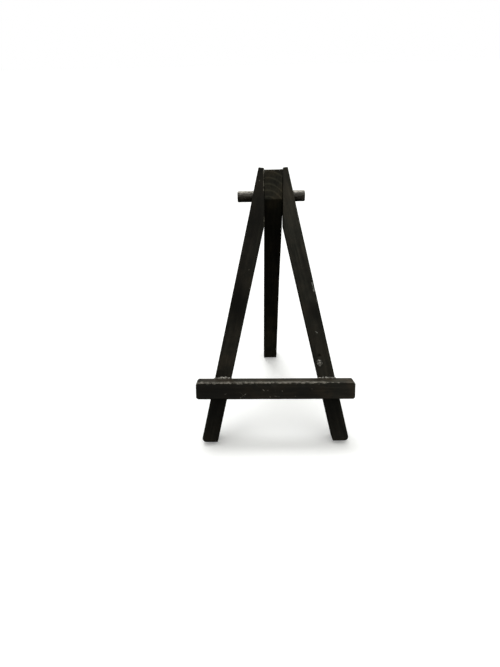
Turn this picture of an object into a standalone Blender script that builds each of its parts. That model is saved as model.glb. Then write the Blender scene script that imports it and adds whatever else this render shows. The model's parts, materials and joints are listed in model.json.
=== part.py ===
"""Mini tripod easel: a small wooden stand that shows a sign, a card or a little picture.

Two splayed front sticks and one rear stick hang on a round cross dowel. A square ledge is
glued and pinned across the front sticks, and the rear leg swings on the dowel to fold flat.
The object stands at rest with its feet on Z = 0, facing -Y, centred on the origin.
"""

import math

import bmesh
import bpy
from mathutils import Matrix, Vector

# Driving dimensions, in metres and radians.
STOCK = 0.0080                      # side of the square stick that every wooden bar is cut from
FRAME_HEIGHT = 0.1310               # front frame from foot cut to top cut, along its own slope
FRAME_LEAN = math.radians(17.4)     # the front frame leans back from upright
LEG_SPLAY = math.radians(13.05)     # each front leg turns outwards from the middle line
LEG_TOP_WIDTH = 0.0022              # what the inner bevel leaves of a front leg at its top
REAR_LEAN = math.radians(23.4)      # the rear leg leans from upright when the easel stands
MITRE_ANGLE = math.radians(37.6)    # between the rear leg's mitred top and its length
FOOT_ROUND = 0.0014                 # rounded corners of the front feet

PIVOT_HEIGHT = 0.1187               # dowel centre above the foot cut, along the slope
PIVOT_INSET = 0.0035                # dowel centre behind the rear leg's front face
DOWEL_RADIUS = 0.0025
DOWEL_LENGTH = 0.0310
DOWEL_SHIFT = -0.0009               # the dowel sticks out further on the left
DOWEL_SIDES = 32

LEDGE_LENGTH = 0.0755
LEDGE_HEIGHT = 0.0247               # underside of the ledge above the foot cut, along the slope
LEDGE_ROUND = 0.0011                # rounded corners at the ledge's ends

BRAD_RADIUS = 0.0006
BRAD_LENGTH = 0.0130
BRAD_SET = 0.0005                   # brad end set below the leg's back face
BRAD_SIDES = 16

GAP = 0.0003                        # clearance between neighbouring pieces
SOFT_EDGE = 0.0004                  # sanded edge of every bar
SOFT_EDGE_SEGMENTS = 2
OVERCUT = 0.0020                    # how far a cutter runs past what it cuts

# Sizes that follow from those above.
OPENING = FRAME_LEAN + REAR_LEAN
PIVOT_DEPTH = STOCK / 2
LEDGE_MIDDLE = LEDGE_HEIGHT + STOCK / 2
DRILL_RADIUS = DOWEL_RADIUS + GAP
BRAD_HOLE_RADIUS = BRAD_RADIUS + GAP

X_AXIS = Vector((1, 0, 0))
Y_AXIS = Vector((0, 1, 0))
Z_AXIS = Vector((0, 0, 1))


def clear_scene():
    for obj in list(bpy.data.objects):
        bpy.data.objects.remove(obj, do_unlink=True)


def new_collection(name, hidden=False):
    collection = bpy.data.collections.new(name)
    collection.hide_render = hidden
    bpy.context.scene.collection.children.link(collection)
    return collection


def new_material(name, colour, roughness, metallic=0.0):
    material = bpy.data.materials.new(name)
    material.use_nodes = True
    shader = material.node_tree.nodes["Principled BSDF"]
    shader.inputs["Base Color"].default_value = (*colour, 1.0)
    shader.inputs["Roughness"].default_value = roughness
    shader.inputs["Metallic"].default_value = metallic
    material.diffuse_color = (*colour, 1.0)
    return material


def new_empty(name, collection, location, turn):
    """A frame of reference, turned about X, that pieces are parented to."""
    empty = bpy.data.objects.new(name, None)
    empty.empty_display_size = 0.01
    empty.location = location
    empty.rotation_euler = (turn, 0, 0)
    collection.objects.link(empty)
    return empty


def new_piece(name, bm, collection, parent, material=None):
    """An object made from a bmesh, placed by its parent and shaded smooth across soft edges."""
    mesh = bpy.data.meshes.new(name)
    bmesh.ops.recalc_face_normals(bm, faces=bm.faces)
    bm.to_mesh(mesh)
    bm.free()
    mesh.shade_smooth()
    mesh.set_sharp_from_angle(angle=math.radians(35))
    if material:
        mesh.materials.append(material)
    piece = bpy.data.objects.new(name, mesh)
    piece.parent = parent
    collection.objects.link(piece)
    return piece


def box(low, high):
    bm = bmesh.new()
    bmesh.ops.create_cube(bm, size=1.0)
    low, high = Vector(low), Vector(high)
    for vert in bm.verts:
        vert.co = (low + high) / 2 + vert.co * (high - low)
    return bm


def rod(radius, start, end, sides):
    """A round bar between two points."""
    bm = bmesh.new()
    start, end = Vector(start), Vector(end)
    along = end - start
    turn = Z_AXIS.rotation_difference(along).to_matrix().to_4x4()
    place = Matrix.Translation((start + end) / 2) @ turn
    bmesh.ops.create_cone(
        bm, cap_ends=True, segments=sides, radius1=radius, radius2=radius,
        depth=along.length, matrix=place,
    )
    return bm


def saw(bm, point, outward):
    """Cuts the solid with a plane, and closes the cut: what lies on the outward side falls off."""
    geometry = bm.verts[:] + bm.edges[:] + bm.faces[:]
    cut = bmesh.ops.bisect_plane(
        bm, geom=geometry, plane_co=point, plane_no=outward, clear_outer=True
    )
    rim = [item for item in cut["geom_cut"] if isinstance(item, bmesh.types.BMEdge)]
    bmesh.ops.contextual_create(bm, geom=rim)


def round_corners(bm, radius, wanted, segments=5):
    """Rounds the edges that run along Y and that wanted(middle of the edge) picks."""
    edges = []
    for edge in bm.edges:
        first, second = (vert.co for vert in edge.verts)
        runs_along_y = abs((second - first).normalized().y) > 0.999
        if runs_along_y and wanted((first + second) / 2):
            edges.append(edge)
    bmesh.ops.bevel(
        bm, geom=edges, offset=radius, segments=segments, profile=0.5,
        affect="EDGES", clamp_overlap=True,
    )


def soften(piece):
    bevel = piece.modifiers.new("soft edges", "BEVEL")
    bevel.width = SOFT_EDGE
    bevel.segments = SOFT_EDGE_SEGMENTS
    bevel.limit_method = "ANGLE"
    bevel.angle_limit = math.radians(35)
    bevel.use_clamp_overlap = True


def drill(piece, cutter):
    hole = piece.modifiers.new("hole for " + cutter.name, "BOOLEAN")
    hole.operation = "DIFFERENCE"
    hole.solver = "EXACT"
    hole.object = cutter


def new_cutter(name, bm, collection, parent):
    cutter = new_piece(name, bm, collection, parent)
    cutter.hide_render = True
    cutter.display_type = "WIRE"
    return cutter


def edge_loss(lean):
    """How much higher a softened edge lies than the sharp edge it replaces, on a leaning bar."""
    return SOFT_EDGE * (math.sin(lean) + math.cos(lean) - 1)


def leg_outer_edge(height):
    """Distance from the middle line to a front leg's outer edge, at a height along the slope."""
    top = STOCK / 2 + GAP + LEG_TOP_WIDTH
    return top + (FRAME_HEIGHT - height) * math.tan(LEG_SPLAY)


def leg_middle(height):
    return leg_outer_edge(height) - STOCK / 2 / math.cos(LEG_SPLAY)


def front_leg(name, side, pieces, parent, material):
    """One front leg. Its stick runs through leg_middle, then four saw cuts and a sanded foot."""
    bm = box((-STOCK / 2, 0, -FRAME_HEIGHT), (STOCK / 2, STOCK, FRAME_HEIGHT))
    middle = FRAME_HEIGHT / 2
    splay = Matrix.Rotation(-side * LEG_SPLAY, 4, "Y")
    place = Matrix.Translation((side * leg_middle(middle), 0, middle))
    bmesh.ops.transform(bm, matrix=place @ splay, verts=bm.verts)
    saw(bm, (0, 0, FRAME_HEIGHT), Z_AXIS)
    saw(bm, (0, 0, 0), -Z_AXIS)
    saw(bm, (side * (STOCK / 2 + GAP), 0, 0), -side * X_AXIS)
    round_corners(bm, FOOT_ROUND, lambda spot: spot.z < SOFT_EDGE)
    leg = new_piece(name, bm, pieces, parent, material)
    soften(leg)
    return leg


def ledge_bar(pieces, parent, material):
    half = LEDGE_LENGTH / 2
    bm = box((-half, -GAP - STOCK, LEDGE_HEIGHT), (half, -GAP, LEDGE_HEIGHT + STOCK))
    round_corners(bm, LEDGE_ROUND, lambda spot: True)
    ledge = new_piece("ledge", bm, pieces, parent, material)
    soften(ledge)
    return ledge


def rear_leg_stick(length_below, pieces, parent, material):
    """The rear leg in its own frame: Z up along the stick, Y to its back, origin on the dowel.

    The tip of its mitred top is flush with the faces of the front legs; the rest sinks behind them.
    """
    front, back = -PIVOT_INSET, STOCK - PIVOT_INSET
    bm = box((-STOCK / 2, front, -length_below), (STOCK / 2, back, 3 * STOCK))
    tip = (PIVOT_DEPTH + back * math.cos(OPENING)) / math.sin(OPENING)
    saw(bm, (0, back, tip), (0, -math.cos(MITRE_ANGLE), math.sin(MITRE_ANGLE)))
    leg = new_piece("rear_leg", bm, pieces, parent, material)
    soften(leg)
    return leg


def main():
    clear_scene()
    pieces = new_collection("mini_easel")
    cutters = new_collection("mini_easel_cutters", hidden=True)

    frame_paint = new_material("front_frame_black_paint", (0.020, 0.019, 0.017), 0.50)
    rear_paint = new_material("rear_leg_black_paint", (0.012, 0.011, 0.010), 0.55)
    ledge_paint = new_material("ledge_black_paint", (0.026, 0.022, 0.019), 0.45)
    dowel_paint = new_material("dowel_black_paint", (0.030, 0.029, 0.028), 0.38)
    steel = new_material("brad_steel", (0.45, 0.44, 0.42), 0.35, metallic=1.0)

    # The front frame stands on the back edge of its two feet.
    foot_rise = STOCK * math.sin(FRAME_LEAN) - edge_loss(FRAME_LEAN)
    pivot_rise = (
        foot_rise
        + PIVOT_HEIGHT * math.cos(FRAME_LEAN)
        - PIVOT_DEPTH * math.sin(FRAME_LEAN)
    )
    # The rear leg stands on the front edge of its foot.
    length_below = (
        pivot_rise + edge_loss(REAR_LEAN) - PIVOT_INSET * math.sin(REAR_LEAN)
    ) / math.cos(REAR_LEAN)

    # Depths in front of and behind the frame's foot line, to centre the object on the origin.
    ledge_front = (
        LEDGE_HEIGHT * math.sin(FRAME_LEAN) - (GAP + STOCK) * math.cos(FRAME_LEAN)
        + edge_loss(FRAME_LEAN)
    )
    pivot_back = PIVOT_HEIGHT * math.sin(FRAME_LEAN) + PIVOT_DEPTH * math.cos(FRAME_LEAN)
    foot_back = (
        pivot_back
        + length_below * math.sin(REAR_LEAN)
        + (STOCK - PIVOT_INSET) * math.cos(REAR_LEAN)
        - edge_loss(REAR_LEAN)
    )
    foot_line = -(ledge_front + foot_back) / 2

    frame = new_empty("front_frame_slope", pieces, (0, foot_line, foot_rise), -FRAME_LEAN)
    swing = new_empty(
        "rear_leg_axis", pieces, (0, foot_line + pivot_back, pivot_rise), REAR_LEAN
    )

    # Cutters, in the front frame's own slope.
    pivot_drill = new_cutter(
        "pivot_drill",
        rod(
            DRILL_RADIUS,
            (-DOWEL_LENGTH, PIVOT_DEPTH, PIVOT_HEIGHT),
            (DOWEL_LENGTH, PIVOT_DEPTH, PIVOT_HEIGHT),
            DOWEL_SIDES,
        ),
        cutters, frame,
    )

    ledge = ledge_bar(pieces, frame, ledge_paint)
    for side, word in ((-1, "left"), (1, "right")):
        leg = front_leg("front_leg_" + word, side, pieces, frame, frame_paint)
        drill(leg, pivot_drill)

        brad_x = side * leg_middle(LEDGE_MIDDLE)
        brad_back = STOCK - BRAD_SET
        brad_tip = brad_back - BRAD_LENGTH
        brad_hole = new_cutter(
            "brad_hole_" + word,
            rod(
                BRAD_HOLE_RADIUS,
                (brad_x, STOCK + OVERCUT, LEDGE_MIDDLE),
                (brad_x, brad_tip - GAP, LEDGE_MIDDLE),
                BRAD_SIDES,
            ),
            cutters, frame,
        )
        drill(leg, brad_hole)
        drill(ledge, brad_hole)
        brad = rod(
            BRAD_RADIUS,
            (brad_x, brad_back, LEDGE_MIDDLE),
            (brad_x, brad_tip, LEDGE_MIDDLE),
            BRAD_SIDES,
        )
        new_piece("ledge_brad_" + word, brad, pieces, frame, steel)

    dowel = new_piece(
        "pivot_dowel",
        rod(
            DOWEL_RADIUS,
            (DOWEL_SHIFT - DOWEL_LENGTH / 2, PIVOT_DEPTH, PIVOT_HEIGHT),
            (DOWEL_SHIFT + DOWEL_LENGTH / 2, PIVOT_DEPTH, PIVOT_HEIGHT),
            DOWEL_SIDES,
        ),
        pieces, frame, dowel_paint,
    )
    soften(dowel)

    rear_leg = rear_leg_stick(length_below, pieces, swing, rear_paint)
    drill(rear_leg, pivot_drill)


main()
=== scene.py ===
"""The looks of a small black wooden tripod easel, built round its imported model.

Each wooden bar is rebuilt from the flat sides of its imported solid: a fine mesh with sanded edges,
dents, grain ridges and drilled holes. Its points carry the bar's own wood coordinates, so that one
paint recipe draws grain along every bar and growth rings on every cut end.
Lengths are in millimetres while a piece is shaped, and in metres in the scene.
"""

import json
import math

import bmesh
import bpy
import numpy as np
from mathutils import Matrix, Vector, noise


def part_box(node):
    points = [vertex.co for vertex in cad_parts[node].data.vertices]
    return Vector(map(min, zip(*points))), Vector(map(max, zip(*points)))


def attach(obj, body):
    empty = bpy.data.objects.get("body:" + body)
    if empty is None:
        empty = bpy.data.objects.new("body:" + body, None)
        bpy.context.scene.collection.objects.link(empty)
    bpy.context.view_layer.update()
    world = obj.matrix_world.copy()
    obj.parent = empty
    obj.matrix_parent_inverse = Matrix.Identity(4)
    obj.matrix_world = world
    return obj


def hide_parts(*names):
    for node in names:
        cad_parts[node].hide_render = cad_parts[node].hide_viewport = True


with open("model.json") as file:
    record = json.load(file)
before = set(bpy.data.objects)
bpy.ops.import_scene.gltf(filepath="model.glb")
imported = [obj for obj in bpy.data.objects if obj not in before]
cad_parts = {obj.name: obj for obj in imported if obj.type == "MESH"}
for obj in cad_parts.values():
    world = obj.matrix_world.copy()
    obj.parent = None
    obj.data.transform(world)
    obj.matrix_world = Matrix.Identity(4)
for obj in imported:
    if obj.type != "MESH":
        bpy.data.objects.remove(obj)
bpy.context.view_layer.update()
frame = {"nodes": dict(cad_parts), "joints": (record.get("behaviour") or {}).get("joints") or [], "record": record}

MM = 0.001                  # metres in a millimetre

# How a bar's mesh is made, in mm.
VOXEL = 0.35                # size of its faces
LEDGE_VOXEL = 0.28          # size of the ledge's faces
FLAT_SIDE_WIDTH = 1.0       # a packed face narrower than this is a soft edge or a hole's wall
BLANK = 400.0               # the block that a bar is sawn from
GROW = 0.4                  # a bar is this much too large all round before it is sanded
SAND_ROUNDS = 60
EDGE_RADIUS = 0.36          # the usual rounding of a leg's edges
EDGE_CHANGE = 0.45          # the share by which that rounding varies along a bar
CRISP_GROWTH = 0.25         # how much rounder a crisp edge gets for each mm away from it
WARP = 0.02                 # the slow unevenness of a bar's sides
RIDGES = 0.012              # the height of the grain on them
ROUGH = 0.07                # a little more than warp and ridges can take off together
WORN_WIDTH = 0.9            # width of the worn strip along an edge
DARKEST = -0.8              # patches take no more than this share off the paint's tone
GRAIN_STEP = 40             # how far apart two bars with seeds 1 apart lie in the grain's noise

# Clearances in mm.
SNUG = {"left": 0.23, "right": -0.10}   # how far a front leg is let out towards the rear leg
SWELL = 0.05                # how far the rear leg is let out on both sides
DOWEL_PLAY = 0.07           # round the dowel in its holes
BRAD_PLAY = 0.08            # round a brad in its hole
BRAD_TIP_PLAY = 0.1         # beyond a brad's tip
OVERCUT = 3                 # how far a drill starts outside the wood
DRILL_REACH = 30            # from the middle line to each end of the dowel's drill


# ---------------------------------------------------------------- shapes read from the frame

def flat_sides(node):
    """The planes that a packed bar was sawn with: (outward normal, distance in mm), largest first."""
    mesh = frame["nodes"][node].data
    sides = []
    for face in mesh.polygons:
        normal = np.array(face.normal)
        distance = float(normal @ np.array(face.center)) / MM
        for side in sides:
            if normal @ side["normal"] > 0.9999 and abs(distance - side["distance"]) < 0.02:
                break
        else:
            side = {"normal": normal, "distance": distance, "area": 0.0, "points": []}
            sides.append(side)
        side["area"] += face.area / MM**2
        side["points"] += [np.array(mesh.vertices[index].co) / MM for index in face.vertices]
    found = []
    for side in sides:
        points = np.array(side["points"])
        length = np.linalg.norm(points.max(0) - points.min(0))
        if side["area"] / length > FLAT_SIDE_WIDTH:
            found.append(side)
    found.sort(key=lambda side: -side["area"])
    return np.array([s["normal"] for s in found]), np.array([s["distance"] for s in found])


def bar_axes(normals):
    """A bar's own axes: Z along it, upwards or to the right, Y to its back, and X across it."""
    crossing = next(n for n in normals[1:] if abs(n @ normals[0]) < 0.1)
    along = np.cross(normals[0], crossing)
    along /= np.linalg.norm(along)
    if along[2] + along[0] < 0:
        along = -along
    back = max((normals[0], -normals[0], crossing, -crossing), key=lambda n: n[1])
    return np.array([np.cross(back, along), back, along])


# The front frame's own slope: up it from the foot cut, and out of the faces of its legs.
leg_normals, leg_distances = flat_sides("front_leg_left")
mounts = {mount["name"]: mount for mount in frame["record"]["mounts"]}
UP = np.array(mounts["ledge_top"]["axis"])
OUT = np.array(mounts["ledge_front"]["axis"])
FOOT = -leg_distances[(leg_normals @ -UP).argmax()]
FACE = leg_distances[(leg_normals @ OUT).argmax()]
hinge = frame["joints"][0]
PIVOT = np.array(hinge["pos_m"]) / MM


def on_slope(x, height, out=0.0):
    """A point of the front frame in mm: height is measured up the slope from the foot cut."""
    return np.array([x, 0, 0]) + UP * (height + FOOT) + OUT * (out + FACE)


def leg_reach(height):
    """(inner, outer) distance from the middle line to a front leg's two long sides, at a height."""
    start = on_slope(0, height)
    reach = []
    for normal, distance in zip(leg_normals, leg_distances):
        if 0.5 < abs(normal[0]) < 0.99:
            reach.append(abs((distance - normal @ start) / normal[0]))
    return min(reach), max(reach)


# ---------------------------------------------------------------- meshes

def new_object(name, mesh):
    obj = bpy.data.objects.new(name, mesh)
    bpy.context.scene.collection.objects.link(obj)
    return obj


def take_mesh(obj):
    """The object's mesh with its modifiers applied; the object itself is removed."""
    depsgraph = bpy.context.evaluated_depsgraph_get()
    mesh = bpy.data.meshes.new_from_object(obj.evaluated_get(depsgraph))
    bpy.data.objects.remove(obj, do_unlink=True)
    return mesh


def remeshed(bm, voxel, smoothing=0):
    """Even, square faces over a closed shape, as a mesh."""
    mesh = bpy.data.meshes.new("blank")
    bm.to_mesh(mesh)
    bm.free()
    obj = new_object("blank", mesh)
    remesh = obj.modifiers.new("remesh", "REMESH")
    remesh.mode = "VOXEL"
    remesh.voxel_size = voxel
    if smoothing:
        smooth = obj.modifiers.new("smooth", "SMOOTH")
        smooth.iterations = smoothing
        smooth.factor = 0.5
    return take_mesh(obj)


def points_of(mesh):
    points = np.empty(len(mesh.vertices) * 3, np.float32)
    mesh.vertices.foreach_get("co", points)
    return points.reshape(-1, 3).astype(float)


def set_points(mesh, points):
    mesh.vertices.foreach_set("co", points.astype(np.float32).ravel())
    mesh.update()


def normals_of(mesh):
    normals = np.empty(len(mesh.vertices) * 3, np.float32)
    mesh.vertex_normals.foreach_get("vector", normals)
    return normals.reshape(-1, 3).astype(float)


def noise_at(points, size, seed=0.0):
    """Smooth noise from about -1 to 1, whose lumps are size mm across along each axis."""
    places = points / np.array(size) + seed
    return np.array([noise.noise(place) for place in places])


def sawn(normals, distances):
    """The sharp solid that the planes enclose."""
    bm = bmesh.new()
    bmesh.ops.create_cube(bm, size=BLANK)
    for normal, distance in zip(normals, distances):
        geometry = bm.verts[:] + bm.edges[:] + bm.faces[:]
        cut = bmesh.ops.bisect_plane(
            bm, geom=geometry, plane_co=normal * distance, plane_no=normal, clear_outer=True
        )
        rim = [item for item in cut["geom_cut"] if isinstance(item, bmesh.types.BMEdge)]
        bmesh.ops.contextual_create(bm, geom=rim)
    return bm


def sanded(points, normals, distances, radius):
    """Moves points of the sharp solid onto the same solid with rounded edges.

    Each point goes to the closest point of the solid shrunk by radius, found by projecting on its
    planes in turn, and then back out by radius. Returns the points and their outward directions.
    """
    inner = points.copy()
    steps = np.zeros((len(normals), len(points), 3))
    for _ in range(SAND_ROUNDS):
        for index, (normal, distance) in enumerate(zip(normals, distances)):
            trial = inner + steps[index]
            over = np.maximum(trial @ normal - (distance - radius), 0)
            inner = trial - over[:, None] * normal
            steps[index] = trial - inner
    away = points - inner
    length = np.linalg.norm(away, axis=1)
    away /= np.maximum(length, 1e-6)[:, None]
    return inner + away * radius[:, None], away


def corner_planes(normals, distances, first, second, radius, count=4):
    """Extra planes that round the edge between two of the solid's planes."""
    made_normals, made_distances = [], []
    for step in range(1, count + 1):
        share = step / (count + 1)
        weights = np.array([1 - share, share])
        mixed = weights[0] * normals[first] + weights[1] * normals[second]
        length = np.linalg.norm(mixed)
        shrunk = np.array([distances[first] - radius, distances[second] - radius])
        made_normals.append(mixed / length)
        made_distances.append(float(weights @ shrunk) / length + radius)
    return made_normals, made_distances


def press(points, away, centre, size, depth):
    """A dent, or a lump where depth is negative, that fades out size mm from its centre."""
    reach = np.linalg.norm((points - centre) / np.array(size), axis=1)
    fade = np.clip(1 - reach**2, 0, 1) ** 2
    return points - away * (depth * fade)[:, None]


def drilled(obj, start, end, radius, sides=48):
    """Cuts a round hole between two points in mm, through an object that is already in metres."""
    along = Vector(end - start) * MM
    bm = bmesh.new()
    turn = Vector((0, 0, 1)).rotation_difference(along).to_matrix().to_4x4()
    place = Matrix.Translation(Vector(start + end) / 2 * MM) @ turn
    bmesh.ops.create_cone(
        bm, cap_ends=True, segments=sides, radius1=radius * MM, radius2=radius * MM,
        depth=along.length, matrix=place,
    )
    mesh = bpy.data.meshes.new("drill")
    bm.to_mesh(mesh)
    bm.free()
    drill = new_object("drill", mesh)
    cut = obj.modifiers.new("drill", "BOOLEAN")
    cut.operation = "DIFFERENCE"
    cut.solver = "EXACT"
    cut.object = drill
    name = obj.name
    made = take_mesh(obj)
    bpy.data.objects.remove(drill, do_unlink=True)
    made.name = name
    return new_object(name, made)


class Bar:
    """A packed bar's own frame: its axes, its middle, and its flat sides seen from there, in mm."""

    def __init__(self, node, let_out, planed, skew):
        world_normals, world_distances = flat_sides(node)
        self.axes = bar_axes(world_normals)
        self.normals = world_normals @ self.axes.T
        low, high = (np.array(corner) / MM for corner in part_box(node))
        self.middle = (low + high) / 2
        self.distances = world_distances - world_normals @ self.middle
        for way, amount in let_out:
            self.distances[(world_normals @ way).argmax()] += amount
        self.planed = [(world_normals @ way).argmax() for way in planed]
        self.distances[self.planed] += ROUGH
        if skew is not None:
            self.axes = self.axes @ np.array(skew).T

    def place(self, point):
        """A point of the scene, in the bar's frame."""
        return self.axes @ (point - self.middle)

    def side(self, way):
        """The number of the flat side that faces a way of the scene."""
        return (self.normals @ (self.axes @ way)).argmax()

    def depths(self, points):
        """How deep each point lies below each flat side."""
        return self.distances - points @ self.normals.T


def shape_bar(bar, points, radius, seed, rounded, crisp, dents):
    """Sands, warps and dents a bar's points."""
    normals, distances = list(bar.normals), list(bar.distances)
    for first_way, second_way, corner_radius in rounded:
        first, second = bar.side(first_way), bar.side(second_way)
        more = corner_planes(bar.normals, bar.distances, first, second, corner_radius)
        normals += more[0]
        distances += more[1]
    radius = radius * (1 + EDGE_CHANGE * noise_at(points, (5, 5, 7), seed + 3.1))
    depths = bar.depths(points)
    for first_way, second_way, least in crisp:
        inside = np.maximum(depths[:, bar.side(first_way)], depths[:, bar.side(second_way)])
        radius = np.minimum(radius, least + CRISP_GROWTH * np.maximum(inside, 0))
    points, away = sanded(points, np.array(normals), np.array(distances), radius)
    warp = WARP * (1 + noise_at(points, (9, 9, 30), seed + 7.7))
    ridges = RIDGES * (1 + noise_at(points, (0.7, 0.7, 14), seed + 1.3))
    points -= away * (warp + ridges)[:, None]
    for side in bar.planed:
        over = np.maximum(points @ bar.normals[side] - (bar.distances[side] - ROUGH), 0)
        points -= over[:, None] * bar.normals[side]
    for place, size, depth in dents:
        points = press(points, away, bar.place(place), size, depth)
    return points


def mark_bar(bar, mesh, seed, scuffs_and_highlights, patches):
    """Writes on a bar's points what its paint reads: wear and painted highlights, cut ends, shade (patches of
    tone, painted shade and painted highlights) and grain.
    """
    points = (points_of(mesh) / MM - bar.middle) @ bar.axes.T
    depths = bar.depths(points)
    second_nearest = np.sort(depths, axis=1)[:, 1]
    is_cut = np.abs(bar.normals[:, 2]) > 0.5
    scuff_and_highlight_level = np.zeros(len(points))
    # Scuff lines and painted highlight lines alike make the paint lighter here.
    for start, end, width, strength in scuffs_and_highlights:
        line = near_line(points, bar.place(start), bar.place(end), width)
        scuff_and_highlight_level = np.maximum(scuff_and_highlight_level, strength * line)
    shade = np.zeros(len(points))
    for place, size, strength in patches:
        reach = np.linalg.norm((points - bar.place(place)) / np.array(size), axis=1)
        shade += strength * np.clip(1 - reach**2, 0, 1) ** 2
    add_numbers(mesh, "edge", np.clip(1 - second_nearest / WORN_WIDTH, 0, 1))
    add_numbers(mesh, "cut", is_cut[depths.argmin(axis=1)].astype(float))
    add_numbers(mesh, "scuff_and_highlight", scuff_and_highlight_level)
    add_numbers(mesh, "shade", np.maximum(shade, DARKEST))
    add_vectors(mesh, "grain", points + np.array([0, 0, seed * GRAIN_STEP]))


def wood_bar(
    node, radius, seed, voxel=VOXEL,
    rounded=(), crisp=(), dents=(), scuffs_and_highlights=(), patches=(), holes=(), let_out=(), planed=(),
    skew=None,
):
    """A wooden bar that stands for a packed one, with its wood coordinates on its points.

    rounded and crisp pick an edge by the ways that its two sides face. let_out moves flat sides
    outwards, planed keeps sides free of unevenness, and skew turns the bar about its middle.
    """
    bar = Bar(node, let_out, planed, skew)
    mesh = remeshed(sawn(bar.normals, bar.distances + GROW), voxel)
    points = shape_bar(bar, points_of(mesh), radius, seed, rounded, crisp, dents)
    set_points(mesh, (points @ bar.axes + bar.middle) * MM)
    mesh.name = node + "_wood"
    obj = new_object(node + "_wood", mesh)
    for start, end, hole_radius in holes:
        obj = drilled(obj, start, end, hole_radius)
    mark_bar(bar, obj.data, seed, scuffs_and_highlights, patches)
    obj.data.shade_smooth()
    obj.data.set_sharp_from_angle(angle=math.radians(50))
    return obj


def near_line(points, start, end, width):
    """1 on the straight line between two points, fading to 0 at width from it."""
    along = end - start
    share = np.clip((points - start) @ along / max(along @ along, 1e-9), 0, 1)
    gap = np.linalg.norm(points - start - share[:, None] * along, axis=1)
    return np.clip(1 - gap / width, 0, 1)


def add_numbers(mesh, name, numbers):
    layer = mesh.attributes.new(name, "FLOAT", "POINT")
    layer.data.foreach_set("value", numbers.astype(np.float32))


def add_vectors(mesh, name, vectors):
    layer = mesh.attributes.new(name, "FLOAT_VECTOR", "POINT")
    layer.data.foreach_set("vector", vectors.astype(np.float32).ravel())


def turned(name, profile, start, along, sides):
    """A round piece: profile lists (distance along, radius) in mm, from its axis to its axis."""
    bm = bmesh.new()
    verts = [bm.verts.new((reach, 0, place)) for place, reach in profile]
    edges = [bm.edges.new(pair) for pair in zip(verts, verts[1:])]
    bmesh.ops.spin(
        bm, geom=verts + edges, cent=(0, 0, 0), axis=(0, 0, 1), angle=2 * math.pi,
        steps=sides, use_merge=True,
    )
    bmesh.ops.remove_doubles(bm, verts=bm.verts, dist=0.0005)
    bmesh.ops.recalc_face_normals(bm, faces=bm.faces)
    turn = Vector((0, 0, 1)).rotation_difference(Vector(along)).to_matrix().to_4x4()
    bmesh.ops.transform(bm, matrix=Matrix.Translation(Vector(start)) @ turn, verts=bm.verts)
    mesh = bpy.data.meshes.new(name)
    bm.to_mesh(mesh)
    bm.free()
    return mesh


def rounded_rod_profile(length, radius, corner, step):
    """The profile of a rod whose two ends have rounded corners."""
    profile = [(0, reach) for reach in np.linspace(0, radius - corner, 7)]
    bend = np.linspace(0, math.pi / 2, 5)[1:]
    profile += [
        (corner * (1 - math.cos(turn)), radius - corner * (1 - math.sin(turn))) for turn in bend
    ]
    half = length / 2
    profile += [(place, radius) for place in np.arange(corner + step, half, step)]
    return profile + [(length - place, reach) for place, reach in reversed(profile)]


# ---------------------------------------------------------------- paint recipes

class Recipe:
    """A material under construction. Each call adds a node and returns its output socket."""

    def __init__(self, name):
        self.material = bpy.data.materials.new(name)
        self.material.use_nodes = True
        self.tree = self.material.node_tree
        self.shader = self.tree.nodes["Principled BSDF"]

    def add(self, kind, inputs=None, output=0, **settings):
        node = self.tree.nodes.new(kind)
        for key, value in settings.items():
            setattr(node, key, value)
        for key, value in (inputs or {}).items():
            self.plug(node.inputs[key], value)
        return node.outputs[output]

    def plug(self, socket, value):
        if isinstance(value, bpy.types.NodeSocket):
            self.tree.links.new(value, socket)
        else:
            socket.default_value = value

    def set(self, **values):
        for key, value in values.items():
            self.plug(self.shader.inputs[key.replace("_", " ")], value)

    def numbers(self, name):
        return self.add("ShaderNodeAttribute", attribute_name=name, output="Fac")

    def vectors(self, name):
        return self.add("ShaderNodeAttribute", attribute_name=name, output="Vector")

    def maths(self, operation, first, second=0.0, clamp=False):
        return self.add(
            "ShaderNodeMath", {0: first, 1: second}, operation=operation, use_clamp=clamp
        )

    def stretch(self, vector, factors):
        return self.add("ShaderNodeVectorMath", {0: vector, 1: factors}, operation="MULTIPLY")

    def shift(self, vector, offset):
        return self.add("ShaderNodeVectorMath", {0: vector, 1: offset}, operation="ADD")

    def noise(self, vector, size, detail=2.0, roughness=0.5):
        """Noise from 0 to 1, whose lumps are about size mm across."""
        inputs = {"Vector": vector, "Scale": 1 / size, "Detail": detail, "Roughness": roughness}
        return self.add("ShaderNodeTexNoise", inputs)

    def rise(self, value, low, high):
        """0 below low and 1 above high, with a smooth rise between."""
        inputs = {"Value": value, "From Min": low, "From Max": high}
        return self.add("ShaderNodeMapRange", inputs, interpolation_type="SMOOTHSTEP")

    def blend(self, share, first, second):
        """A mix of two colours, each a socket or (r, g, b)."""
        node = self.tree.nodes.new("ShaderNodeMix")
        node.data_type = "RGBA"
        colours = [c if isinstance(c, bpy.types.NodeSocket) else (*c, 1.0) for c in (first, second)]
        self.plug(node.inputs["Factor"], share)
        self.plug(node.inputs[6], colours[0])
        self.plug(node.inputs[7], colours[1])
        return node.outputs[2]


DUST_TONE = (0.20, 0.19, 0.18)
BARE_WOOD_AND_HIGHLIGHT_TONE = (0.50, 0.49, 0.46)   # the dowel's wood where its paint is worn through, also the tone of the painted highlight on its upper side


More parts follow.
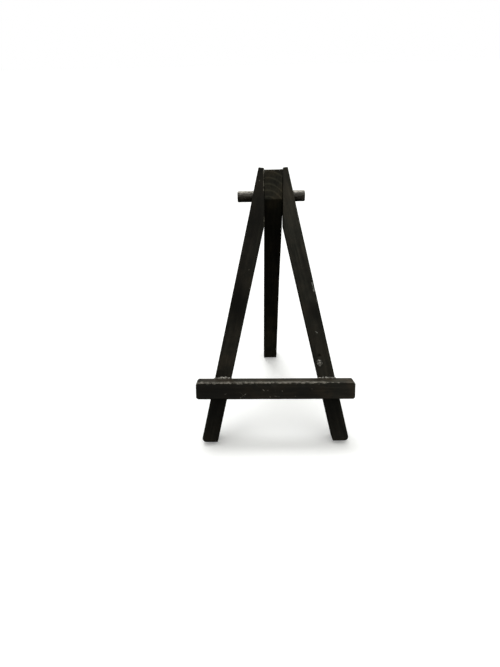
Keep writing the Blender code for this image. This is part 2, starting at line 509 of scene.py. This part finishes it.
def black_paint(name, cool, warm, bare, pith, wear, roughness, shine, ring=2.7):
    """Thin black paint on wood: fibres along the bar, rings on its cut ends, and worn edges.

    pith is the way from the tree's middle to the bar's, and ring is the width of a growth ring,
    both in mm. wear is how much the edges are worn.
    """
    r = Recipe(name)
    grain = r.vectors("grain")
    edge = r.numbers("edge")
    scuff_and_highlight = r.numbers("scuff_and_highlight")
    cut = r.numbers("cut")

    # Patterns: along the grain, then even all round, then round the pith.
    fibres = r.noise(r.stretch(grain, (1, 1, 0.06)), 0.7, detail=3, roughness=0.6)
    bands = r.noise(r.stretch(grain, (1, 1, 0.12)), 2.2, detail=2)
    lumps = r.noise(grain, 7, detail=3, roughness=0.6)
    peel = r.noise(grain, 0.45, detail=3, roughness=0.6)
    flecks = r.noise(r.stretch(grain, (1, 1, 0.5)), 0.7, detail=3, roughness=0.7)
    rings = r.add(
        "ShaderNodeTexWave",
        {
            "Vector": r.shift(grain, pith), "Scale": math.pi / 10 / ring, "Distortion": 1.2,
            "Detail": 2.0, "Detail Scale": 0.35, "Detail Roughness": 0.6,
        },
        output="Fac", wave_type="RINGS", rings_direction="Z", wave_profile="SIN",
    )
    late_wood = r.rise(rings, 0.72, 0.98)

    # The paint's tone, cool or warm, and how light it is.
    tone = r.blend(r.rise(lumps, 0.35, 0.65), cool, warm)
    level = r.maths("ADD", r.rise(lumps, 0.3, 0.7), r.rise(bands, 0.3, 0.7))
    level = r.maths("ADD", r.maths("MULTIPLY", level, 0.45), 0.55)
    mottle = r.maths("MULTIPLY", r.maths("SUBTRACT", peel, 0.5), 1.2)
    fibre_light = r.maths("ADD", r.maths("MULTIPLY", r.rise(fibres, 0.4, 0.75), 0.6), mottle)
    ring_light = r.maths("MULTIPLY", r.maths("MULTIPLY", late_wood, cut), 1.1)
    level = r.maths("ADD", level, r.maths("ADD", fibre_light, ring_light))
    level = r.maths("MULTIPLY", level, r.maths("ADD", r.numbers("shade"), 1.0))
    tone = r.add("ShaderNodeVectorMath", {0: tone, "Scale": level}, operation="SCALE")

    # Bare wood where it is rubbed or scuffed, painted highlights along some scuff lines, and a few specks of dust.
    rubbed = r.maths("MULTIPLY", edge, wear)
    rubbed = r.maths("ADD", rubbed, scuff_and_highlight)
    rubbed = r.maths("ADD", rubbed, r.maths("MULTIPLY", r.maths("SUBTRACT", flecks, 0.5), 1.6))
    worn = r.rise(rubbed, 0.55, 0.95)
    tone = r.blend(worn, tone, bare)

    spots = r.add(
        "ShaderNodeTexVoronoi", {"Vector": grain, "Scale": 0.16, "Randomness": 1.0},
        output="Distance",
    )
    dust = r.maths("SUBTRACT", 1.0, r.rise(spots, 0.02, 0.045))
    tone = r.blend(r.maths("MULTIPLY", dust, 0.6), tone, DUST_TONE)
    r.set(Base_Color=tone)

    # Gloss and relief.
    rough = r.maths("ADD", r.maths("MULTIPLY", peel, 0.2), roughness - 0.1)
    rough = r.maths("ADD", rough, r.maths("MULTIPLY", r.maths("SUBTRACT", 0.5, lumps), 0.5))
    rough = r.maths("ADD", rough, r.maths("MULTIPLY", worn, 0.25), clamp=True)
    r.set(Roughness=rough)
    r.shader.inputs["Specular IOR Level"].default_value = shine

    height = r.maths("MULTIPLY", fibres, 0.8)
    height = r.maths("ADD", height, r.maths("MULTIPLY", late_wood, 0.5))
    height = r.maths("ADD", height, r.maths("MULTIPLY", peel, 0.35))
    height = r.maths("SUBTRACT", height, r.maths("MULTIPLY", worn, 0.5))
    bump = r.add("ShaderNodeBump", {"Strength": 0.7, "Distance": 0.00006, "Height": height})
    r.set(Normal=bump)
    return r.material


def dowel_paint():
    """Glossier paint, brushed along the dowel, streaky where it is thin."""
    r = Recipe("dowel_paint")
    grain = r.vectors("grain")
    edge = r.numbers("edge")
    streaks = r.noise(r.stretch(grain, (1, 1, 0.15)), 0.55, detail=4, roughness=0.65)
    patches = r.noise(r.stretch(grain, (1, 1, 0.5)), 1.2, detail=4, roughness=0.6)
    peel = r.noise(grain, 0.5, detail=3, roughness=0.6)
    flecks = r.noise(r.stretch(grain, (1, 1, 0.7)), 0.8, detail=2, roughness=0.6)
    tone = r.blend(r.rise(streaks, 0.4, 0.75), (0.018, 0.015, 0.010), (0.060, 0.056, 0.046))
    rubbed = r.maths("ADD", r.maths("MULTIPLY", edge, 0.14), patches)
    # This attribute brings the dowel's upper side, lighter from wear and from a painted highlight.
    rubbed = r.maths("ADD", rubbed, r.numbers("scuff_and_highlight"))
    worn = r.rise(rubbed, 0.62, 0.84)
    tone = r.blend(worn, tone, BARE_WOOD_AND_HIGHLIGHT_TONE)
    r.set(Base_Color=tone)
    rough = r.maths("ADD", r.maths("MULTIPLY", r.rise(flecks, 0.38, 0.62), 0.45), 0.12)
    r.set(Roughness=rough)
    r.shader.inputs["Specular IOR Level"].default_value = 0.6
    height = r.maths("ADD", streaks, r.maths("MULTIPLY", r.maths("ADD", peel, flecks), 0.8))
    bump = r.add("ShaderNodeBump", {"Strength": 0.8, "Distance": 0.0002, "Height": height})
    r.set(Normal=bump)
    return r.material


def glossy_glue():
    r = Recipe("dried_glue")
    place = r.add("ShaderNodeTexCoord", output="Object")
    clouds = r.noise(r.stretch(place, (1000, 1000, 1000)), 1.1, detail=2)
    tone = r.blend(r.rise(clouds, 0.38, 0.62), (0.035, 0.034, 0.031), (0.26, 0.26, 0.245))
    r.set(Base_Color=tone)
    r.set(Roughness=r.maths("ADD", r.maths("MULTIPLY", clouds, 0.15), 0.06))
    r.shader.inputs["Specular IOR Level"].default_value = 0.6
    bump = r.add("ShaderNodeBump", {"Strength": 0.3, "Distance": 0.0001, "Height": clouds})
    r.set(Normal=bump)
    return r.material


def brad_steel():
    r = Recipe("brad_steel")
    place = r.stretch(r.add("ShaderNodeTexCoord", output="Object"), (1000, 1000, 1000))
    clouds = r.noise(place, 0.35, detail=3)
    r.set(Base_Color=r.blend(r.rise(clouds, 0.45, 0.75), (0.50, 0.49, 0.47), (0.16, 0.12, 0.09)))
    r.set(Roughness=r.maths("ADD", r.maths("MULTIPLY", clouds, 0.3), 0.22))
    r.shader.inputs["Metallic"].default_value = 1.0
    bump = r.add("ShaderNodeBump", {"Strength": 0.4, "Distance": 0.00005, "Height": clouds})
    r.set(Normal=bump)
    return r.material


# ---------------------------------------------------------------- the pieces

X = np.array([1.0, 0, 0])
BACK = -OUT
SIDES = (("left", -1), ("right", 1))

STOCK = 8.0                         # side of the square stick that every bar is cut from

ledge_normals, ledge_distances = flat_sides("ledge")
LEDGE_TOP = ledge_distances[(ledge_normals @ UP).argmax()] - FOOT
LEDGE_BOTTOM = LEDGE_TOP - STOCK
LEDGE_BACK = -ledge_distances[(ledge_normals @ BACK).argmax()] - FACE
LEDGE_FRONT = LEDGE_BACK + STOCK
LEDGE_SKEW = math.radians(0.5)      # the ledge was glued on a little higher on the left
LEDGE_SWELL = 0.25                  # how far the ledge's top is let out

dowel_low, dowel_high = (np.array(corner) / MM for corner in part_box("pivot_dowel"))
DOWEL_RADIUS = (dowel_high[2] - dowel_low[2]) / 2
DOWEL_HOLE = (PIVOT - DRILL_REACH * X, PIVOT + DRILL_REACH * X, DOWEL_RADIUS + DOWEL_PLAY)


def brad_line(side):
    """The two ends of a brad, on its axis, from its cut end at the leg's back to its tip."""
    low, high = (np.array(corner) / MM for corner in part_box("ledge_brad_" + side))
    middle = (low + high) / 2
    radius = (high[0] - low[0]) / 2
    half = ((high[2] - low[2]) / 2 - radius * abs(BACK[1])) / abs(BACK[2])
    return middle + BACK * half, middle - BACK * half, radius


def brad_hole(side):
    back, tip, radius = brad_line(side)
    return back + BACK * OVERCUT, tip - BACK * BRAD_TIP_PLAY, radius + BRAD_PLAY


def spot(x, height, out=0.0):
    """A round scuff's line: a point given twice."""
    place = on_slope(x, height, out)
    return place, place


def scratch(first, second, out=0.0):
    """A straight scuff's line, from one (x, height) to another."""
    return on_slope(*first, out), on_slope(*second, out)


def finish_piece(obj, name, body, material):
    """Names a piece, paints it, and says which body it rides on."""
    obj.name = name
    obj.data.name = name
    obj.data.materials.clear()
    obj.data.materials.append(material)
    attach(obj, body)


# Each leg's tones of paint, cool and warm, and of the wood where the paint is worn off. The right leg's tones are
# lighter than the left's as a painted highlight: both legs have the same paint.
LEG_TONES = {
    "left": ((0.0122, 0.0122, 0.0096), (0.0170, 0.0148, 0.0112), (0.20, 0.19, 0.16)),
    "right": ((0.0185, 0.0192, 0.0158), (0.0220, 0.0202, 0.0158), (0.26, 0.27, 0.26)),
}
# Scuffs and painted highlights: the line's two ends, its width, and its strength.
LEG_SCUFFS_AND_HIGHLIGHTS = {
    "left": [
        (*spot(-11.6, 85.3), 0.8, 1.1),
        (*spot(-6.4, 125.4), 0.75, 1.1),
        (*spot(-5.6, 93.5), 0.5, 0.7),
        # The next two lines, along the left leg's inner front edge, are a painted highlight on that edge.
        (*scratch((-4.4, 121), (-4.3, 130.8)), 0.55, 0.80),
        (*scratch((-4.4, 104), (-4.4, 110)), 0.5, 0.65),
    ],
    "right": [
        (*scratch((17.7, 78.9), (18.7, 74.9)), 1.0, 0.88),
        (*scratch((19.7, 55.6), (20.6, 54.9)), 0.6, 1.05),
        (*spot(15.4, 81.1), 0.9, 0.35),
    ],
}
# Dents: the middle, the size across, to the back and along, and the depth. Where the depth is
# below 0, the side swells instead.
LEG_DENTS = {
    "left": [
        (on_slope(-16.5, 71), (3, 1, 8), 0.10),
        (on_slope(-7.6, 127, -4), (2.0, 12, 20), -0.24),
    ],
    "right": [
        (on_slope(7.6, 127, -4), (2.0, 12, 20), -0.18),
        (on_slope(18.7, 77), (1.2, 1.2, 3.0), 0.06),
        (on_slope(21.5, 43.4), (1.0, 1.0, 1.2), 0.45),
        (on_slope(11.5, 90), (0.5, 0.5, 5.0), 0.12),
    ],
}
# Patches: the middle, the size across, to the back and along, and how much lighter they are. Some are painted
# shade and some are painted highlights, as marked.
LEG_PATCHES = {
    "left": [
        (on_slope(-18.5, 74), (8, 10, 12), -0.7),
        (on_slope(-16.5, 66), (8, 10, 11), -0.7),
        (on_slope(-9, 108), (9, 9, 18), -0.35),
        (on_slope(-12, 95), (6, 8, 9), 0.35),
        (on_slope(-22, 46), (8, 9, 16), 0.45),
        # Painted shade: the leg is darker below the ledge, down to its foot.
        (on_slope(-27, 13), (14, 14, 20), -0.6),
    ],
    "right": [
        # Painted highlight: the upper part of the right leg is lighter.
        (on_slope(9, 107), (10, 9, 36), 0.62),
        (on_slope(18.6, 65), (4.5, 7, 7), -0.6),
        (on_slope(18.6, 72), (4.5, 7, 5), 0.4),
        (on_slope(14.5, 88), (2.0, 3.0, 8), -0.45),
        (on_slope(11.2, 100), (0.5, 6, 13), -0.55),
        (on_slope(10.2, 98), (0.5, 6, 14), 0.5),
        # Painted shade in the small dent above the glue drip.
        (on_slope(21.4, 43.5), (1.8, 3, 2.2), -0.5),
        # Painted shade: the leg is darker below the ledge, down to its foot.
        (on_slope(27, 13), (14, 14, 20), -0.6),
    ],
}


def front_leg(side, sign):
    inward, outward = -sign * X, sign * X
    leg = wood_bar(
        "front_leg_" + side, radius=EDGE_RADIUS, seed=1.0 + sign * 0.37,
        rounded=[(-UP, outward, 2.0), (-UP, inward, 1.8), (UP, inward, 0.6)],
        crisp=[(UP, inward, 0.12), (UP, outward, 0.25), (UP, OUT, 0.25), (BACK, inward, 0.10)],
        dents=LEG_DENTS[side], scuffs_and_highlights=LEG_SCUFFS_AND_HIGHLIGHTS[side], patches=LEG_PATCHES[side],
        holes=[DOWEL_HOLE, brad_hole(side)], let_out=[(inward, SNUG[side])], planed=[inward],
    )
    paint = black_paint(
        f"front_leg_{side}_paint", *LEG_TONES[side],
        pith=(11 * sign, 14, 0), wear=0.30, roughness=0.5, shine=0.2,
    )
    finish_piece(leg, f"front_leg_{side}_wood", "front_frame", paint)
    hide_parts("front_leg_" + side)


for side, sign in SIDES:
    front_leg(side, sign)


# The ways that the rear leg's mitre, back and foot face.
rear_normals, rear_distances = flat_sides("rear_leg")
MITRE = max(rear_normals, key=lambda normal: normal[2])
REAR_BACK = max(rear_normals, key=lambda normal: normal[1])
REAR_FOOT = min(rear_normals, key=lambda normal: normal[2])
REAR_FRONT = -REAR_BACK


def rear_leg():
    """The rear leg: its lower end has a painted highlight, and it swells a little on its right."""
    leg = wood_bar(
        "rear_leg", radius=EDGE_RADIUS, seed=2.9,
        rounded=[(REAR_FOOT, X, 0.9), (REAR_FOOT, -X, 0.5)],
        crisp=[
            (MITRE, REAR_BACK, 0.05), (MITRE, X, 0.06), (MITRE, -X, 0.06),
            (MITRE, REAR_FRONT, 0.1),
        ],
        patches=[
            # Painted highlight: the lower end of the leg is lighter.
            (PIVOT + np.array([0, 50, -100]), (20, 40, 45), 1.4),
            (PIVOT + 3 * UP + 4 * OUT, (14, 14, 16), 0.4),
        ],
        dents=[(PIVOT + 4 * X + 14 * REAR_FOOT, (1.2, 30, 40), -0.33)],
        holes=[DOWEL_HOLE], let_out=[(X, SWELL), (-X, SWELL)], planed=[X, -X],
    )
    # These tones are lighter than the left leg's: painted light that lifts the deep shade the rear leg stands in.
    paint = black_paint(
        "rear_leg_paint", (0.0150, 0.0152, 0.0112), (0.0190, 0.0165, 0.0110),
        (0.13, 0.11, 0.09), pith=(2.7, 12.7, 0), wear=0.28, roughness=0.5, shine=0.2, ring=1.7,
    )
    finish_piece(leg, "rear_leg_wood", "rear_leg", paint)
    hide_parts("rear_leg")


rear_leg()


# The worn strips along the ledge's edges, then the marks on its front, from left to right.
LEDGE_SCUFFS = [
    (*scratch((-37, LEDGE_TOP), (24, LEDGE_TOP), LEDGE_FRONT - 1.6), 3.4, 0.74),
    (*scratch((24, LEDGE_TOP), (37, LEDGE_TOP), LEDGE_FRONT - 1.0), 2.0, 0.50),
    (*scratch((-37, LEDGE_TOP), (-28, LEDGE_TOP), LEDGE_FRONT - 0.6), 1.2, 0.35),
    (*scratch((26, LEDGE_TOP), (33, LEDGE_TOP), LEDGE_FRONT - 1.2), 2.0, 0.20),
    (*scratch((-37.7, LEDGE_BOTTOM + 1), (-37.7, LEDGE_TOP - 1), LEDGE_FRONT), 0.9, 0.45),
    (*scratch((37.7, LEDGE_BOTTOM + 1), (37.7, LEDGE_TOP - 1), LEDGE_FRONT), 1.2, 0.35),
    (*scratch((-37.5, LEDGE_BOTTOM), (37.5, LEDGE_BOTTOM), LEDGE_FRONT), 0.5, 0.25),
    (*scratch((-26.0, 27.4), (-22.5, 27.8), LEDGE_FRONT), 0.4, 0.6),
    (*scratch((-16.8, 28.4), (-14.4, 26.4), LEDGE_FRONT), 0.45, 0.75),
    (*scratch((-16.6, 25.6), (-13.2, 28.3), LEDGE_FRONT), 0.45, 0.85),
    (*spot(-8.3, 25.8, LEDGE_FRONT), 0.7, 1.0),
    (*scratch((-6.0, 29.8), (-5.2, 28.9), LEDGE_FRONT), 0.5, 1.0),
    (*scratch((-5.2, 28.9), (-3.5, 29.4), LEDGE_FRONT), 0.5, 0.85),
    (*spot(-2.6, 26.0, LEDGE_FRONT), 0.7, 1.0),
    (*scratch((-1.5, 26.6), (1.8, 26.0), LEDGE_FRONT), 0.4, 0.7),
    (*spot(-0.7, 27.9, LEDGE_FRONT), 0.6, 0.9),
    (*scratch((-0.4, 29.6), (0.3, 27.2), LEDGE_FRONT), 0.35, 0.65),
    (*spot(3.1, 28.8, LEDGE_FRONT), 0.6, 0.9),
    (*spot(9.5, 26.2, LEDGE_FRONT), 0.6, 0.9),
    (*scratch((16.5, 29.9), (18.6, 29.3), LEDGE_FRONT), 0.4, 0.7),
]


def ledge():
    """The ledge: painted highlights on its top and its right end, and painted shade on its left end."""
    bar = wood_bar(
        "ledge", radius=0.42, seed=4.6, voxel=LEDGE_VOXEL,
        rounded=[
            (X, UP, 1.4), (X, -UP, 1.4), (-X, UP, 1.4), (-X, -UP, 1.4),
            (X, OUT, 0.9), (-X, OUT, 0.9),
        ],
        crisp=[(UP, OUT, 0.12)],
        dents=[
            (on_slope(-0.5, 32.5, LEDGE_FRONT), (2.0, 2.0, 2.0), 0.16),
            (on_slope(13, 32.5, LEDGE_FRONT), (3.0, 1.0, 1.0), 0.14),
        ],
        scuffs_and_highlights=LEDGE_SCUFFS,
        patches=[
            # Painted highlight: the top of the ledge is lighter.
            (on_slope(0, LEDGE_TOP, LEDGE_FRONT - 4), (1.3, 9, 90), 1.25),
            # Painted shade on the left end, and below it a painted highlight on the right end.
            (on_slope(-30, 29, LEDGE_FRONT), (24, 24, 24), -0.62),
            (on_slope(36, 27, LEDGE_FRONT), (22, 22, 22), 0.9),
            (on_slope(16.3, 29.1, LEDGE_FRONT), (1.4, 1.4, 0.5), -0.7),
        ],
        holes=[brad_hole("left"), brad_hole("right")], let_out=[(UP, LEDGE_SWELL)],
        skew=Matrix.Rotation(-LEDGE_SKEW, 3, Vector(OUT)),
    )
    paint = black_paint(
        "ledge_paint", (0.0080, 0.0078, 0.0060), (0.0125, 0.0100, 0.0070),
        (0.34, 0.33, 0.30), pith=(9, -12, 0), wear=0.42, roughness=0.45, shine=0.35,
    )
    finish_piece(bar, "ledge_wood", "front_frame", paint)
    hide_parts("ledge")


ledge()


# The dowel's wear, the painted highlight on its upper side, and its unevenness; lengths are in mm.
DOWEL_WORN_AND_HIGHLIGHT_SIDE = np.array([0, 0.26, 0.97])     # its upper side is lighter, a little to its back: worn paint and a painted highlight
DOWEL_WEAR_AND_HIGHLIGHT = 0.26           # the strength of that
DOWEL_UNEVEN = 0.02         # the most that it stands above or below its mean radius
DOWEL_END = 0.8             # how far the wear of its ends reaches


def dowel():
    length = dowel_high[0] - dowel_low[0]
    middle = (dowel_low[0] + dowel_high[0]) / 2
    start = np.array([dowel_low[0], PIVOT[1], PIVOT[2]])
    profile = rounded_rod_profile(length, DOWEL_RADIUS - DOWEL_UNEVEN, corner=0.5, step=0.25)
    mesh = turned("pivot_dowel_wood", profile, start, X, sides=72)
    points = points_of(mesh)
    away = normals_of(mesh)
    lengthwise = 0.022 * noise_at(points, (7, 0.8, 0.8), 5.5)
    lumps = 0.02 * noise_at(points, (1.6, 1.6, 1.6), 2.5)
    points = points + away * np.minimum(lengthwise + lumps, DOWEL_UNEVEN)[:, None]
    set_points(mesh, points * MM)
    from_end = length / 2 - np.abs(points[:, 0] - middle)
    # The lighter upper side: partly wear, partly a painted highlight.
    rubbed = np.clip((away @ DOWEL_WORN_AND_HIGHLIGHT_SIDE - 0.45) / 0.35, 0, 1)
    add_numbers(mesh, "edge", np.clip(1 - from_end / DOWEL_END, 0, 1))
    add_numbers(mesh, "scuff_and_highlight", DOWEL_WEAR_AND_HIGHLIGHT * rubbed)
    grain = np.stack([points[:, 1] - PIVOT[1], points[:, 2] - PIVOT[2], points[:, 0]], axis=1)
    add_vectors(mesh, "grain", grain)
    mesh.shade_smooth()
    rod = new_object("pivot_dowel_wood", mesh)
    finish_piece(rod, "pivot_dowel_wood", "front_frame", dowel_paint())
    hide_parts("pivot_dowel")


dowel()


def brad(side, steel):
    back, tip, radius = brad_line(side)
    profile = rounded_rod_profile(np.linalg.norm(tip - back), radius, corner=0.15, step=0.8)
    mesh = turned("brad", profile, back, tip - back, sides=32)
    set_points(mesh, points_of(mesh) * MM)
    mesh.shade_smooth()
    mesh.set_sharp_from_angle(angle=math.radians(40))
    wire = new_object("brad", mesh)
    finish_piece(wire, f"ledge_brad_{side}_wire", "front_frame", steel)
    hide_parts("ledge_brad_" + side)


steel = brad_steel()
for side, _ in SIDES:
    brad(side, steel)


# ---------------------------------------------------------------- dried glue

GLUE_VOXEL = 0.12
DRIP_VOXEL = 0.08
PAD_STEP = 0.55             # between the drops that fill the gap behind the ledge
PAD_DROP = 0.42             # their radius
SEAM_STEP = 0.3             # between the drops of the beads above and below a leg's joint
TOP_SEAM = (0.18, 0.42)     # how high above the ledge's top that bead lies, and its radius
BOTTOM_SEAM = (0.0, 0.26)
BEAD_RISE = 0.1             # how much higher the large drops sit than their list says


def blob(drops, voxel=GLUE_VOXEL):
    """One skin over many drops, each (centre in mm, radius in mm or (x, y, z) radii)."""
    bm = bmesh.new()
    for centre, radius in drops:
        radii = Vector(radius if isinstance(radius, tuple) else (radius,) * 3)
        place = Matrix.Translation(Vector(centre)) @ Matrix.Diagonal(radii).to_4x4()
        bmesh.ops.create_icosphere(bm, subdivisions=2, radius=1.0, matrix=place)
    return remeshed(bm, voxel, smoothing=4)


def finish_glue(name, mesh, material):
    set_points(mesh, points_of(mesh) * MM)
    mesh.shade_smooth()
    finish_piece(new_object(name, mesh), name, "front_frame", material)


def skew_rise(x):
    """How much higher the askew ledge lies at x than a level one."""
    return -math.tan(LEDGE_SKEW) * x


def glue_pad(sign):
    """The drops between the ledge and a leg, with a small uneven bead down both sides."""
    drops = []
    for height in np.arange(LEDGE_BOTTOM + 0.3, LEDGE_TOP, PAD_STEP):
        inner, outer = leg_reach(height)
        for reach in np.arange(inner + 0.2, outer, PAD_STEP):
            drops.append((on_slope(sign * reach, height, LEDGE_BACK / 2), PAD_DROP))
        for reach in (inner - 0.05, outer + 0.05):
            size = 0.30 + 0.10 * noise.noise((reach, height * 0.9, sign))
            drops.append((on_slope(sign * reach, height, 0.05), size))
    return drops


def glue_seam(sign, height, size):
    """The drops of an uneven bead across a leg, along the ledge's top or bottom."""
    drops = []
    inner, outer = leg_reach(height)
    for reach in np.arange(inner + 0.1, outer, SEAM_STEP):
        swell = size * (1 + 0.45 * noise.noise((reach * 1.3, height, sign * 3)))
        rise = skew_rise(sign * reach)
        drops.append((on_slope(sign * reach, height + rise, LEDGE_BACK), swell))
    return drops


def glue_joint(side, sign, beads, material):
    """Glue between the ledge and a leg: a pad in the gap, a bead round it, and larger drops."""
    drops = glue_pad(sign)
    drops += glue_seam(sign, LEDGE_TOP + TOP_SEAM[0], TOP_SEAM[1])
    drops += glue_seam(sign, LEDGE_BOTTOM + BOTTOM_SEAM[0], BOTTOM_SEAM[1])
    for x, height, out, size in beads:
        drops.append((on_slope(x, height + skew_rise(x) + BEAD_RISE, out), size))
    finish_glue(f"glue_{side}", blob(drops), material)


def glue_drip(material):
    """A smear of glue on the right leg's face, above the ledge."""
    drops = [
        (on_slope(21.8, 39.8, 0.0), (1.45, 0.6, 1.2)),
        (on_slope(21.6, 40.9, 0.0), (1.35, 0.5, 0.9)),
        (on_slope(21.7, 38.9, 0.0), (0.8, 0.5, 0.8)),
    ]
    finish_glue("glue_drip", blob(drops, DRIP_VOXEL), material)


# The large drops on top of the ledge: x, height, how far out, and radius.
GLUE_BEADS = {
    "left": [
        (-25.9, LEDGE_TOP + 0.25, 0.45, 0.95), (-23.8, LEDGE_TOP + 0.20, 0.45, 0.90),
        (-24.9, LEDGE_TOP + 0.05, 0.40, 0.75), (-27.2, LEDGE_TOP, 0.40, 0.65),
    ],
    "right": [
        (23.4, LEDGE_TOP + 0.15, 0.40, 0.80), (24.8, LEDGE_TOP + 0.10, 0.40, 0.75),
        (26.7, LEDGE_TOP + 0.15, 0.42, 0.70), (28.2, LEDGE_TOP, 0.40, 0.55),
    ],
}
glue = glossy_glue()
for side, sign in SIDES:
    glue_joint(side, sign, GLUE_BEADS[side], glue)
glue_drip(glue)


# ---------------------------------------------------------------- camera, floor and light

CAMERA_PITCH = math.radians(28.314)     # it looks down
CAMERA_YAW = math.radians(-0.914)       # and a little to the left
CAMERA_ROLL = math.radians(1.265)       # and is rolled a little clockwise
CAMERA_LENS = 27.11                     # focal length in mm
CAMERA_TARGET = (0, -0.0459, 0.0599)    # a point at the easel's front, about halfway up
AIM_LEFT = 0.0115                       # how far to the left of that point the camera aims
AIM_ABOVE = 0.00319                     # and how far above it
CAMERA_DISTANCE = 0.223217              # from there to the camera


def camera():
    """The camera in front of the easel, looking down at it, turned a little and rolled a little."""
    forward = Vector((
        math.sin(CAMERA_YAW) * math.cos(CAMERA_PITCH),
        math.cos(CAMERA_YAW) * math.cos(CAMERA_PITCH),
        -math.sin(CAMERA_PITCH),
    ))
    level = Vector((math.cos(CAMERA_YAW), -math.sin(CAMERA_YAW), 0))
    down = forward.cross(level)
    right = math.cos(CAMERA_ROLL) * level + math.sin(CAMERA_ROLL) * down
    below = -math.sin(CAMERA_ROLL) * level + math.cos(CAMERA_ROLL) * down
    aim = Vector(CAMERA_TARGET) - right * AIM_LEFT - below * AIM_ABOVE
    lens = bpy.data.cameras.new("camera")
    lens.lens = CAMERA_LENS
    lens.clip_start = 0.01
    obj = new_object("camera", lens)
    place = Matrix((right, -below, -forward)).transposed().to_4x4()
    place.translation = aim - forward * CAMERA_DISTANCE
    obj.matrix_world = place
    bpy.context.scene.camera = obj


def white_floor():
    """A plain white floor, which glows a little and throws no light back on the easel."""
    bm = bmesh.new()
    bmesh.ops.create_grid(bm, size=30.0)
    mesh = bpy.data.meshes.new("floor")
    bm.to_mesh(mesh)
    bm.free()
    white = Recipe("floor_white")
    white.set(
        Base_Color=(0.90, 0.94, 1.0, 1), Roughness=0.9,
        Emission_Color=(1, 1, 1, 1), Emission_Strength=0.2,
    )
    mesh.materials.append(white.material)
    floor = new_object("floor", mesh)
    floor.visible_diffuse = False
    floor.visible_glossy = False


# How bright the room is by how far up one looks: (sine of the elevation, level).
ROOM_LIGHT = [(-1, 0.02), (1, 1.0), (-0.12, 0.03), (-0.02, 0.10), (0.06, 0.20), (0.40, 0.30)]
ROOM_STRENGTH = 1.25
ROOM_TINT = (1.0, 0.965, 0.87)


def studio():
    """A room that shines softly from overhead and is dark near the ground, with a white backdrop."""
    world = bpy.data.worlds.new("studio")
    bpy.context.scene.world = world
    world.use_nodes = True
    nodes, links = world.node_tree.nodes, world.node_tree.links
    backdrop = nodes["Background"]
    backdrop.inputs["Color"].default_value = (1, 1, 1, 1)
    direction = nodes.new("ShaderNodeTexCoord")
    split = nodes.new("ShaderNodeSeparateXYZ")
    links.new(direction.outputs["Generated"], split.inputs[0])
    height = nodes.new("ShaderNodeMapRange")
    height.inputs["From Min"].default_value = -1
    links.new(split.outputs["Z"], height.inputs["Value"])
    ramp = nodes.new("ShaderNodeValToRGB")
    links.new(height.outputs["Result"], ramp.inputs["Fac"])
    stops = ramp.color_ramp.elements
    for index, (up, level) in enumerate(ROOM_LIGHT):
        stop = stops[index] if index < 2 else stops.new((up + 1) / 2)
        stop.position = (up + 1) / 2
        stop.color = (level, level, level, 1)
    room = nodes.new("ShaderNodeBackground")
    tint = nodes.new("ShaderNodeVectorMath")
    tint.operation = "MULTIPLY"
    links.new(ramp.outputs["Color"], tint.inputs[0])
    tint.inputs[1].default_value = ROOM_TINT
    links.new(tint.outputs[0], room.inputs["Color"])
    room.inputs["Strength"].default_value = ROOM_STRENGTH
    path = nodes.new("ShaderNodeLightPath")
    mix = nodes.new("ShaderNodeMixShader")
    links.new(path.outputs["Is Camera Ray"], mix.inputs[0])
    links.new(room.outputs[0], mix.inputs[1])
    links.new(backdrop.outputs[0], mix.inputs[2])
    links.new(mix.outputs[0], nodes["World Output"].inputs["Surface"])


def overhead_lamp():
    """A large soft lamp overhead, a little behind the easel and to its left."""
    lamp = bpy.data.lights.new("overhead_lamp", "SUN")
    lamp.energy = 1.1
    lamp.angle = math.radians(22)
    lamp.color = (1.0, 0.97, 0.92)
    obj = new_object("overhead_lamp", lamp)
    obj.rotation_euler = (math.radians(-10), math.radians(-6), 0)


camera()
white_floor()
studio()
overhead_lamp()
bpy.context.scene.view_settings.view_transform = "Standard"
